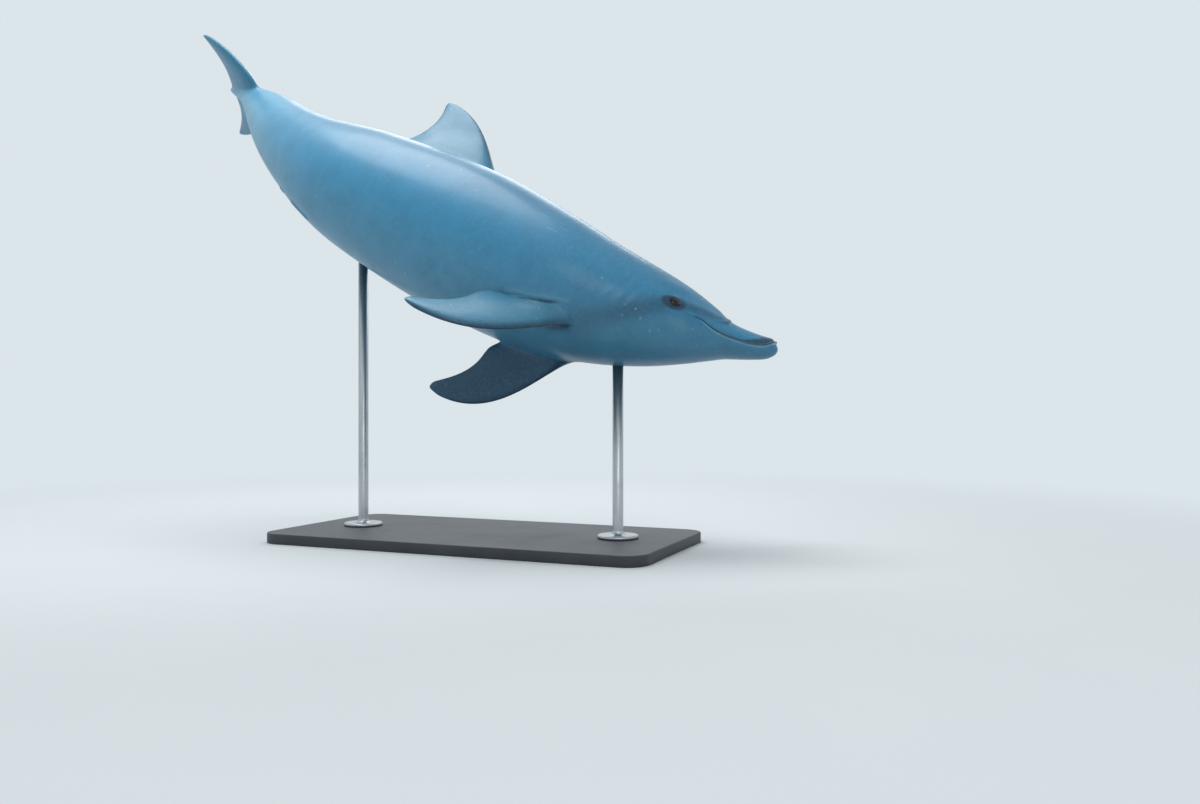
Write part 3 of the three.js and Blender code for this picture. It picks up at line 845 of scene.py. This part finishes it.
def joined(piece, *others):
    """The first piece with the others joined to it. The others are used up."""
    for other in others:
        join = piece.modifiers.new("join", "BOOLEAN")
        join.operation, join.solver, join.object = "UNION", "MANIFOLD", other
        bpy.context.view_layer.update()
        whole = bpy.data.meshes.new_from_object(piece.evaluated_get(bpy.context.evaluated_depsgraph_get()))
        piece.modifiers.clear()
        old, piece.data = piece.data, whole
        bpy.data.meshes.remove(old)
        bpy.data.objects.remove(other)
    return piece


def joined_parts():
    fins = [remembered("fin", dorsal_mesh(), bent, FIN)]
    for make_fin, share in ((flipper_mesh, FLIPPER_SHARE), (fluke_mesh, FLUKE_SHARE)):
        for side in FLIPPERS:
            fins.append(remembered("fin", make_fin(side), lambda points: held_straight(points, share), FIN))
    return joined(remembered("dolphin_skin", body_mesh(), bent, BODY), *fins)


def neighbour_mean(ends, values):
    a, b = ends.T
    count = np.maximum(np.bincount(ends.ravel(), minlength=len(values)), 1)
    totals = [np.bincount(a, v[b], len(v)) + np.bincount(b, v[a], len(v)) for v in values.T]
    return np.stack(totals, axis=-1) / count[:, None]


def fill_seam(values, on_seam, ends):
    """Gives the vertices on the seams, which joining has made new, the mean of their neighbours."""
    unknown = on_seam.copy()
    for _ in range(SEAM_PASSES):
        known_mean = neighbour_mean(ends, np.where(unknown[:, None], 0, values))
        known_share = neighbour_mean(ends, np.where(unknown[:, None], 0, np.ones_like(values)))
        found = unknown & (known_share[:, 0] > 0)
        values[found] = known_mean[found] / known_share[found]
        unknown &= ~found


def press_armpit_fold(bm, unbent, on_body):
    """Presses the fold behind each flipper into the skin, with a soft swell over it."""
    chest = np.flatnonzero(chest_zone(unbent) & on_body)
    fold = 0.0036 * armpit_fold(unbent[chest], 0.0045)
    swell = 0.0016 * armpit_fold(unbent[chest] - [0, 0, 0.009], 0.007)
    for i, depth in zip(chest, fold - swell):
        bm.verts[i].co -= bm.verts[i].normal * depth
    bm.normal_update()


def make_skin():
    piece = joined_parts()
    bm = bmesh.new()
    bm.from_mesh(piece.data)
    bmesh.ops.dissolve_degenerate(bm, edges=bm.edges, dist=1e-6)
    bmesh.ops.triangulate(bm, faces=[f for f in bm.faces if len(f.verts) > 4])
    bm.verts.index_update()
    bm.verts.ensure_lookup_table()
    layers = bm.verts.layers.float_vector
    points = places(bm)
    unbent = np.array([v[layers["unbent"]] for v in bm.verts])
    kind = np.array([v[layers["kind"]][0] for v in bm.verts])
    ends = np.array([[v.index for v in e.verts] for e in bm.edges])
    on_seam, on_fin = kind < BODY / 2, kind > (BODY + FIN) / 2
    fill_seam(unbent, on_seam, ends)

    away, _ = nearest(points, points[on_seam])
    reach = np.where(unbent[:, 0] < -FLUKES_FROM * LENGTH, FLUKE_ROOT_SOFTNESS, ROOT_SOFTNESS)
    weight = 0.9 * np.clip(1 - away / reach, 0, 1) ** 1.3
    for _ in range(SMOOTHING_PASSES):
        points += (neighbour_mean(ends, points) - points) * weight[:, None]
    move_to(bm, points)
    bm.normal_update()
    press_armpit_fold(bm, unbent, ~on_fin)
    finish_faces(bm)
    bm.to_mesh(piece.data)
    bm.free()

    height = np.where(on_fin, away, -away)
    *fins, face = fin_marks(unbent, height)
    keep_on_mesh(piece, "unbent", unbent)
    keep_on_mesh(piece, "marks_shade_and_highlights", marks_with_painted_light(unbent, height))
    keep_on_mesh(piece, "fins", np.transpose(fins))
    keep_on_mesh(piece, "lie", np.stack([rise_on_body(unbent), face, 0 * face], axis=-1))
    return piece


# ---- eyes


def make_eye(node, side):
    low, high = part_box(node)
    centre = np.array((low + high) / 2)
    mirror = np.array([1, side, 1])
    axes = np.array([eye_along * mirror, eye_across * mirror, eye_out * mirror])
    _, *directions = spine_frame(np.array([EYE_SHARE]))
    bm = bmesh.new()
    bmesh.ops.create_uvsphere(bm, u_segments=64, v_segments=40, radius=1)
    ball = places(bm)
    cornea = 1 + 0.02 * rising(ball[:, 2], 0.72, 1)
    radius = EYE_RADIUS - 0.0002
    move_to(bm, centre + ball * cornea[:, None] * radius @ axes @ np.concatenate(directions))
    finish_faces(bm)
    piece = mesh_object(node + "_ball", bm)
    keep_on_mesh(piece, "gaze", ball)
    return piece


# ---- stand

ROD_RADIUS = 0.015
ROD_INTO_BODY = 0.012
FOOT_HEIGHT = 0.01
FOOT_CHAMFER = 0.0025
ROD_FILLET = 0.012
BASE_CORNER = 0.063
BASE_EDGE = 0.003


def make_rod(node):
    """A rod on a round foot, turned about its middle."""
    low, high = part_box(node)
    centre = (low + high) / 2
    foot, top = (high.x - low.x) / 2, high.z + ROD_INTO_BODY - low.z
    fillet_out, fillet_up = ROD_RADIUS + ROD_FILLET, FOOT_HEIGHT + ROD_FILLET
    outline = [(0, 0), (foot, 0), (foot, FOOT_HEIGHT - FOOT_CHAMFER), (foot - FOOT_CHAMFER, FOOT_HEIGHT)]
    for angle in np.radians(range(0, 91, 15)):
        outline.append((fillet_out - ROD_FILLET * math.sin(angle), fillet_up - ROD_FILLET * math.cos(angle)))
    outline += [(ROD_RADIUS, top), (0, top)]
    bm = bmesh.new()
    verts = [bm.verts.new((centre.x + r, centre.y, low.z + h)) for r, h in outline]
    edges = [bm.edges.new(pair) for pair in zip(verts, verts[1:])]
    turn = {"cent": (centre.x, centre.y, 0), "axis": (0, 0, 1), "angle": 2 * math.pi}
    bmesh.ops.spin(bm, geom=verts + edges, steps=64, use_merge=True, **turn)
    bmesh.ops.remove_doubles(bm, verts=bm.verts, dist=1e-6)
    face_outwards(bm)
    for f in bm.faces:
        f.smooth = abs(f.normal.z) < 0.9
    return mesh_object(node + "_turned", bm)


def is_upright(edge):
    return abs(edge.verts[0].co.z - edge.verts[1].co.z) > 1e-6


def is_rim(edge):
    """An edge of the plate's upper or lower face."""
    level_faces = [abs(f.normal.z) > 0.9 for f in edge.link_faces]
    return any(level_faces) and not all(level_faces)


def make_base():
    low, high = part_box("stand_base")
    bm = bmesh.new()
    bmesh.ops.create_cube(bm, size=1)
    bmesh.ops.scale(bm, vec=high - low, verts=bm.verts)
    bmesh.ops.translate(bm, vec=(low + high) / 2, verts=bm.verts)
    bevel = {"profile": 0.5, "affect": "EDGES", "material": -1}
    bmesh.ops.bevel(bm, geom=[e for e in bm.edges if is_upright(e)], offset=BASE_CORNER, segments=20, **bevel)
    bmesh.ops.bevel(bm, geom=[e for e in bm.edges if is_rim(e)], offset=BASE_EDGE, segments=3, **bevel)
    for f in bm.faces:
        f.smooth = len(f.verts) == 4
    return mesh_object("base_plate", bm)


# ---- shader writing


def forward(kind):
    """An operator that adds a Math node of a kind."""
    return lambda self, other: self._math(kind, self, other)


def reflected(kind):
    return lambda self, other: self._math(kind, other, self)


class Value:
    """A socket that takes part in sums: each operator adds a Math node."""

    __add__ = __radd__ = forward("ADD")
    __mul__ = __rmul__ = forward("MULTIPLY")
    __sub__, __rsub__ = forward("SUBTRACT"), reflected("SUBTRACT")
    __truediv__, __rtruediv__ = forward("DIVIDE"), reflected("DIVIDE")
    __pow__, __rpow__ = forward("POWER"), reflected("POWER")

    def __init__(self, paint, socket):
        self.paint, self.socket = paint, socket

    def _math(self, operation, *values):
        return self.paint.node("ShaderNodeMath", {"operation": operation}, dict(enumerate(values)))

    def most(self, other):
        return self._math("MAXIMUM", self, other)

    def least(self, other):
        return self._math("MINIMUM", self, other)

    def ramp(self, first, last, start=0.0, end=1.0):
        """Runs smoothly from start, where this value is first, to end, where it is last."""
        (low, at_low), (high, at_high) = sorted([(first, start), (last, end)])
        values = {"Value": self, "From Min": low, "From Max": high, "To Min": at_low, "To Max": at_high}
        return self.paint.node("ShaderNodeMapRange", {"interpolation_type": "SMOOTHSTEP"}, values)


class Paint:
    """A material or a world, and the nodes that make it."""

    def __init__(self, holder):
        holder.use_nodes = True
        self.holder, self.tree = holder, holder.node_tree
        self.tree.nodes.clear()

    def node(self, kind, settings=None, sockets=None, output=0):
        made = self.tree.nodes.new(kind)
        for key, value in (settings or {}).items():
            setattr(made, key, value)
        for key, value in (sockets or {}).items():
            if isinstance(value, Value):
                self.tree.links.new(value.socket, made.inputs[key])
            else:
                made.inputs[key].default_value = value
        return Value(self, made.outputs[output]) if made.outputs else None

    def attribute(self, name):
        return self.node("ShaderNodeAttribute", {"attribute_name": name}, output="Vector")

    def object_place(self):
        return self.node("ShaderNodeTexCoord", output="Object")

    def parts(self, vector):
        split = self.node("ShaderNodeSeparateXYZ", sockets={0: vector})
        return [Value(self, split.socket.node.outputs[k]) for k in range(3)]

    def mix(self, factor, one, two):
        """Goes from colour one to colour two."""
        factor_socket, one_socket, two_socket, result = 0, 6, 7, 2
        sockets = {factor_socket: factor, one_socket: colour(one), two_socket: colour(two)}
        return self.node("ShaderNodeMix", {"data_type": "RGBA"}, sockets, output=result)

    def noise(self, place, scale, detail=4.0, roughness=0.55, distortion=0.0):
        grain = {"Detail": detail, "Roughness": roughness, "Distortion": distortion}
        return self.node("ShaderNodeTexNoise", sockets={"Vector": place, "Scale": scale, **grain})

    def stretched(self, place, x, y, z):
        return self.node("ShaderNodeVectorMath", {"operation": "MULTIPLY"}, {0: place, 1: (x, y, z)})

    def cells(self, place, scale):
        return self.node("ShaderNodeTexVoronoi", sockets={"Vector": place, "Scale": scale})

    def bump(self, height, distance, strength):
        sockets = {"Height": height, "Distance": distance, "Strength": strength}
        return self.node("ShaderNodeBump", sockets=sockets)

    def in_plain_view(self):
        """1 for rays that show the backdrop: straight ones, and those off gloss or through glass."""
        kinds = ("Is Camera Ray", "Is Glossy Ray", "Is Transmission Ray")
        camera, glossy, transmission = (self.node("ShaderNodeLightPath", output=kind) for kind in kinds)
        return camera.most(glossy).most(transmission)

    def finish(self, tone, roughness, others):
        sockets = {"Base Color": tone, "Roughness": roughness, **others}
        shader = self.node("ShaderNodeBsdfPrincipled", sockets=sockets)
        self.node("ShaderNodeOutputMaterial", sockets={"Surface": shader})
        return self.holder


def new_paint(name):
    return Paint(bpy.data.materials.new(name))


def colour(value):
    """A colour written as its three numbers from 0 to 255, or a socket as it is."""
    if isinstance(value, Value):
        return value
    linear = [(c / 255 / 12.92) if c <= 10 else ((c / 255 + 0.055) / 1.055) ** 2.4 for c in value]
    return (*linear, 1.0)


# ---- materials

# Small pale spots on the right of the head: share, level, reach in metres
PALE_SPOTS = (
    (0.2028, -0.0144, 0.0075),
    (0.1745, -0.0427, 0.006),
    (0.157, -0.0395, 0.0075),
    (0.1454, -0.0467, 0.007),
    (0.137, -0.0434, 0.005),
)


def skin_paint():
    p = new_paint("wet_dolphin_skin")
    place = p.attribute("unbent")
    x, y, z = p.parts(place)
    share, level = x * (-1 / LENGTH), z * (1 / LENGTH)
    dark_and_shade, pale_and_highlight, crease = p.parts(p.attribute("marks_shade_and_highlights"))
    on_fin, front_edge, rear_edge = p.parts(p.attribute("fins"))
    rise, face, _ = p.parts(p.attribute("lie"))

    clouds = p.noise(place, 2.6, 5, 0.55, 0.3) - 0.5
    mottle = p.noise(place, 14, 6, 0.6, 0.4) - 0.5
    grain = p.noise(place, 110, 4, 0.6) - 0.5

    # A pale belly, bluer flanks and a darker cape, then painted shade that deepens towards the head and
    # painted light that pales the tail
    cape_edge = share.ramp(0.05, 0.5, 0.0, 0.1) - share.ramp(0.6, 0.95, 0.0, 0.12)
    tone = rise + clouds * 0.25 + mottle * 0.07 + cape_edge
    skin = p.mix(tone.ramp(0.02, 0.42), (98, 166, 197), (66, 152, 194))
    skin = p.mix(tone.ramp(0.46, 0.92), skin, (50, 125, 162))
    # Painted shade, darker towards the head
    skin = p.mix(share.ramp(0.42, 0.16) * 0.26, skin, (40, 92, 122))
    # Painted light, paler towards the tail
    skin = p.mix(share.ramp(0.55, 0.88) * 0.2, skin, (150, 198, 216))

    # Flippers with painted shade on their lower, inner face, then the dorsal fin and the flukes
    fin_tone = p.mix((face + mottle * 0.5).ramp(-0.7, 0.7), (22, 58, 80), (64, 134, 166))
    fin_tone = p.mix((mottle + 0.5) * 0.25, fin_tone, (56, 116, 152))
    fin_tone = p.mix(share.ramp(0.41, 0.46) * 0.75, fin_tone, (14, 126, 160))
    fin_tone = p.mix(share.ramp(0.88, 0.95) * 0.9, fin_tone, (58, 136, 170))
    skin = p.mix(on_fin * 0.88, skin, fin_tone)
    edges = (front_edge * 0.8).most(rear_edge * 0.6) * share.ramp(0.5, 0.8, 1.0, 0.3)
    skin = p.mix((edges + mottle * 0.3 * edges).least(1.0), skin, (24, 50, 74))

    # Dark marks, with painted shade in the hollow under the melon
    dark_and_shade_mask = (dark_and_shade + mottle * 0.22 * dark_and_shade + clouds * 0.15 * dark_and_shade).ramp(0.12, 0.95)
    skin = p.mix(dark_and_shade_mask * 0.9, skin, (18, 40, 60))
    on_right = y.ramp(0.0, -0.02)
    for spot_share, spot_level, reach in PALE_SPOTS:
        behind, above = share - spot_share, level - spot_level
        away = (behind * behind + above * above) ** 0.5 * LENGTH
        pale_and_highlight = pale_and_highlight.most(away.ramp(reach, 0.0) * on_right * 0.5)
    # Pale marks and scars, with painted highlights on the beak's top, the arches about the eye and the swell
    # over each flipper's fold
    pale_and_highlight_mask = (pale_and_highlight + mottle * 0.2 * pale_and_highlight).ramp(0.1, 0.95)
    skin = p.mix(pale_and_highlight_mask * 0.75, skin, (180, 212, 226))

    # Small pale specks, a few darker flecks, and old rake marks in short parallel scratches
    specks = p.cells(place, 34).ramp(0.13, 0.05) * p.noise(place, 9, 2).ramp(0.52, 0.66)
    flecks = p.cells(p.stretched(place, 1, 1.3, 1.2), 21).ramp(0.11, 0.03)
    flecks = flecks * p.noise(place, 5, 2).ramp(0.5, 0.62)
    skin = p.mix(specks * 0.42, skin, (205, 220, 226))
    skin = p.mix(flecks * 0.35, skin, (48, 74, 94))
    scratches = p.noise(p.stretched(place, 5, 120, 150), 1.0, 3, 0.5, 0.6).ramp(0.63, 0.7)
    rakes = scratches * p.noise(place, 3.1, 2, 0.5).ramp(0.56, 0.68)
    skin = p.mix(rakes * 0.3, skin, (196, 212, 218))
    skin = p.mix((mottle + 0.5).ramp(0.35, 0.8) * 0.22, skin, (50, 92, 120))
    skin = p.mix((grain + 0.5).ramp(0.4, 0.75) * 0.1, skin, (140, 184, 208))
    # Painted shade along the creases
    skin = p.mix(crease.ramp(0.15, 0.9) * 0.85, skin, (16, 26, 34))

    pores = p.noise(place, 420, 3, 0.6)
    ripples = p.noise(p.stretched(place, 46, 9, 9), 1.0, 3, 0.5, 0.4)
    height = pores * 0.35 + ripples * 0.5 + grain * 0.8 + mottle * 1.2 - rakes * 0.12 - specks * 0.25
    roughness = 0.39 + mottle * 0.16 + grain * 0.08 - specks * 0.04 + crease * 0.1 + rakes * 0.12
    others = {"Normal": p.bump(height, 0.0011, 0.45), "IOR": 1.4, "Coat Weight": 0.14, "Coat Roughness": 0.16}
    return p.finish(skin, roughness, others)


def eye_paint():
    p = new_paint("wet_dark_eye")
    gaze = p.attribute("gaze")
    x, y, _ = p.parts(gaze)
    from_middle = (x * x + y * y) ** 0.5
    fibres = p.noise(p.stretched(gaze, 30, 30, 4), 1.0, 4, 0.6, 0.5)
    tone = p.mix(fibres.ramp(0.3, 0.75), (11, 11, 12), (22, 20, 20))
    tone = p.mix(from_middle.ramp(0.42, 0.5), tone, (10, 11, 12))
    tone = p.mix(from_middle.ramp(0.52, 0.66), tone, (26, 28, 31))
    pupil = ((x / 0.3) ** 2.0 + (y / 0.16) ** 2.0).ramp(1.25, 0.8)
    tone = p.mix(pupil, tone, (2, 2, 3))
    return p.finish(tone, 0.16 + fibres * 0.06, {"IOR": 1.2, "Coat Weight": 0.5, "Coat Roughness": 0.04})


def steel_paint():
    p = new_paint("brushed_rod_steel")
    place = p.object_place()
    brushed = p.noise(p.stretched(place, 900, 900, 9), 1.0, 4, 0.6)
    smudge = p.noise(place, 18, 4, 0.5)
    tone = p.mix(brushed.ramp(0.3, 0.7), (164, 168, 171), (196, 199, 201))
    tone = p.mix(smudge.ramp(0.45, 0.75) * 0.35, tone, (146, 150, 154))
    roughness = 0.27 + brushed * 0.16 + smudge.ramp(0.4, 0.8) * 0.08
    return p.finish(tone, roughness, {"Metallic": 1.0, "Normal": p.bump(brushed, 0.0002, 0.5)})


def base_paint():
    p = new_paint("satin_base_coat")
    place = p.object_place()
    peel = p.noise(place, 380, 3, 0.5)
    dust = p.noise(place, 7, 5, 0.6)
    fine = p.cells(place, 900)
    tone = p.mix(dust.ramp(0.35, 0.75), (62, 66, 71), (76, 80, 85))
    tone = p.mix(fine.ramp(0.25, 0.05) * 0.25, tone, (112, 117, 122))
    roughness = 0.46 + dust.ramp(0.4, 0.8) * 0.12 + peel * 0.06
    return p.finish(tone, roughness, {"Normal": p.bump(peel + fine * 0.2, 0.0006, 0.5)})


# ---- pieces

FLESH = ["head", "upper_beak", "lower_jaw", "trunk", "tail_stock", "dorsal_fin"]
FLESH += [f"{side}_{fin}" for fin in ("flipper", "fluke") for side in ("left", "right")]


def dress(piece, material, slot, *nodes):
    piece.data.materials.clear()
    piece.data.materials.append(material)
    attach(piece, "root")
    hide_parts(*nodes)


skin_material, eye_material = skin_paint(), eye_paint()
steel_material, base_material = steel_paint(), base_paint()
dress(make_skin(), skin_material, "skin", *FLESH)
for node, side in (("left_eye", 1), ("right_eye", -1)):
    dress(make_eye(node, side), eye_material, "eye", node)
for node in ROD_SHARES:
    dress(make_rod(node), steel_material, "stand_steel", node)
dress(make_base(), base_material, "base_paint", "stand_base")

# ---- studio

BACKDROP = (219, 229, 234)
FLOOR_RADIUS = 40
FLOOR_FADES = (1.1, 3.4)  # from and to these distances the floor turns into the backdrop
LAMPS = (  # name, place, length, width, watts
    ("overhead_lamp", (-0.9, 0.1, 4.5), 3.2, 3.2, 126),
    ("side_lamp", (2.6, -3.6, 3.0), 2.2, 2.2, 27),
    ("back_lamp", (-1.25, 3.3, 3.3), 3.4, 1.2, 36),
)
LENS, SENSOR = 30, 36  # millimetres
CAMERA_PLACE = (1.4304, -2.5744, 0.4087)
CAMERA_HEADING = math.radians(22.46)


def floor_paint():
    p = new_paint("pale_studio_floor")
    place = p.object_place()
    x, y, _ = p.parts(place)
    away = (x * x + y * y) ** 0.5
    tone = p.mix(p.noise(place, 3, 4, 0.5), (222, 229, 232), (226, 232, 235))
    tone = p.mix(p.in_plain_view(), (132, 150, 162), tone)
    near = p.node("ShaderNodeBsdfDiffuse", sockets={"Color": tone})
    far = p.node("ShaderNodeEmission", sockets={"Color": colour(BACKDROP)})
    mixed = p.node("ShaderNodeMixShader", sockets={0: away.ramp(*FLOOR_FADES), 1: near, 2: far})
    p.node("ShaderNodeOutputMaterial", sockets={"Surface": mixed})
    return p.holder


def make_floor():
    bm = bmesh.new()
    bmesh.ops.create_circle(bm, cap_ends=True, radius=FLOOR_RADIUS, segments=96)
    floor = mesh_object("floor", bm)
    floor.data.materials.append(floor_paint())


def make_world():
    """Plain soft light from all round, behind a backdrop that only plain sight shows."""
    p = Paint(bpy.data.worlds.new("studio"))
    light = p.node("ShaderNodeBackground", sockets={"Color": (0.93, 0.97, 1.0, 1), "Strength": 0.4})
    backdrop = p.node("ShaderNodeBackground", sockets={"Color": colour(BACKDROP)})
    mixed = p.node("ShaderNodeMixShader", sockets={0: p.in_plain_view(), 1: light, 2: backdrop})
    p.node("ShaderNodeOutputWorld", sockets={"Surface": mixed})
    bpy.context.scene.world = p.holder


def make_lamps():
    middle = Vector((0, 0, MIDDLE_HEIGHT))
    for name, place, length, width, watts in LAMPS:
        lamp = bpy.data.lights.new(name, "AREA")
        lamp.shape, lamp.size, lamp.size_y, lamp.energy = "ELLIPSE", length, width, watts
        holder = add_to_scene(name, lamp)
        holder.location = place
        holder.rotation_euler = (Vector(place) - middle).to_track_quat("Z", "Y").to_euler()


def make_camera():
    lens = bpy.data.cameras.new("camera")
    lens.lens, lens.sensor_width = LENS, SENSOR
    camera = add_to_scene("camera", lens)
    camera.location = CAMERA_PLACE
    camera.rotation_euler = (math.radians(90), 0, CAMERA_HEADING)
    bpy.context.scene.camera = camera


make_floor()
make_world()
make_lamps()
make_camera()
bpy.context.scene.view_settings.view_transform = "Standard"

bpy.context.view_layer.update()
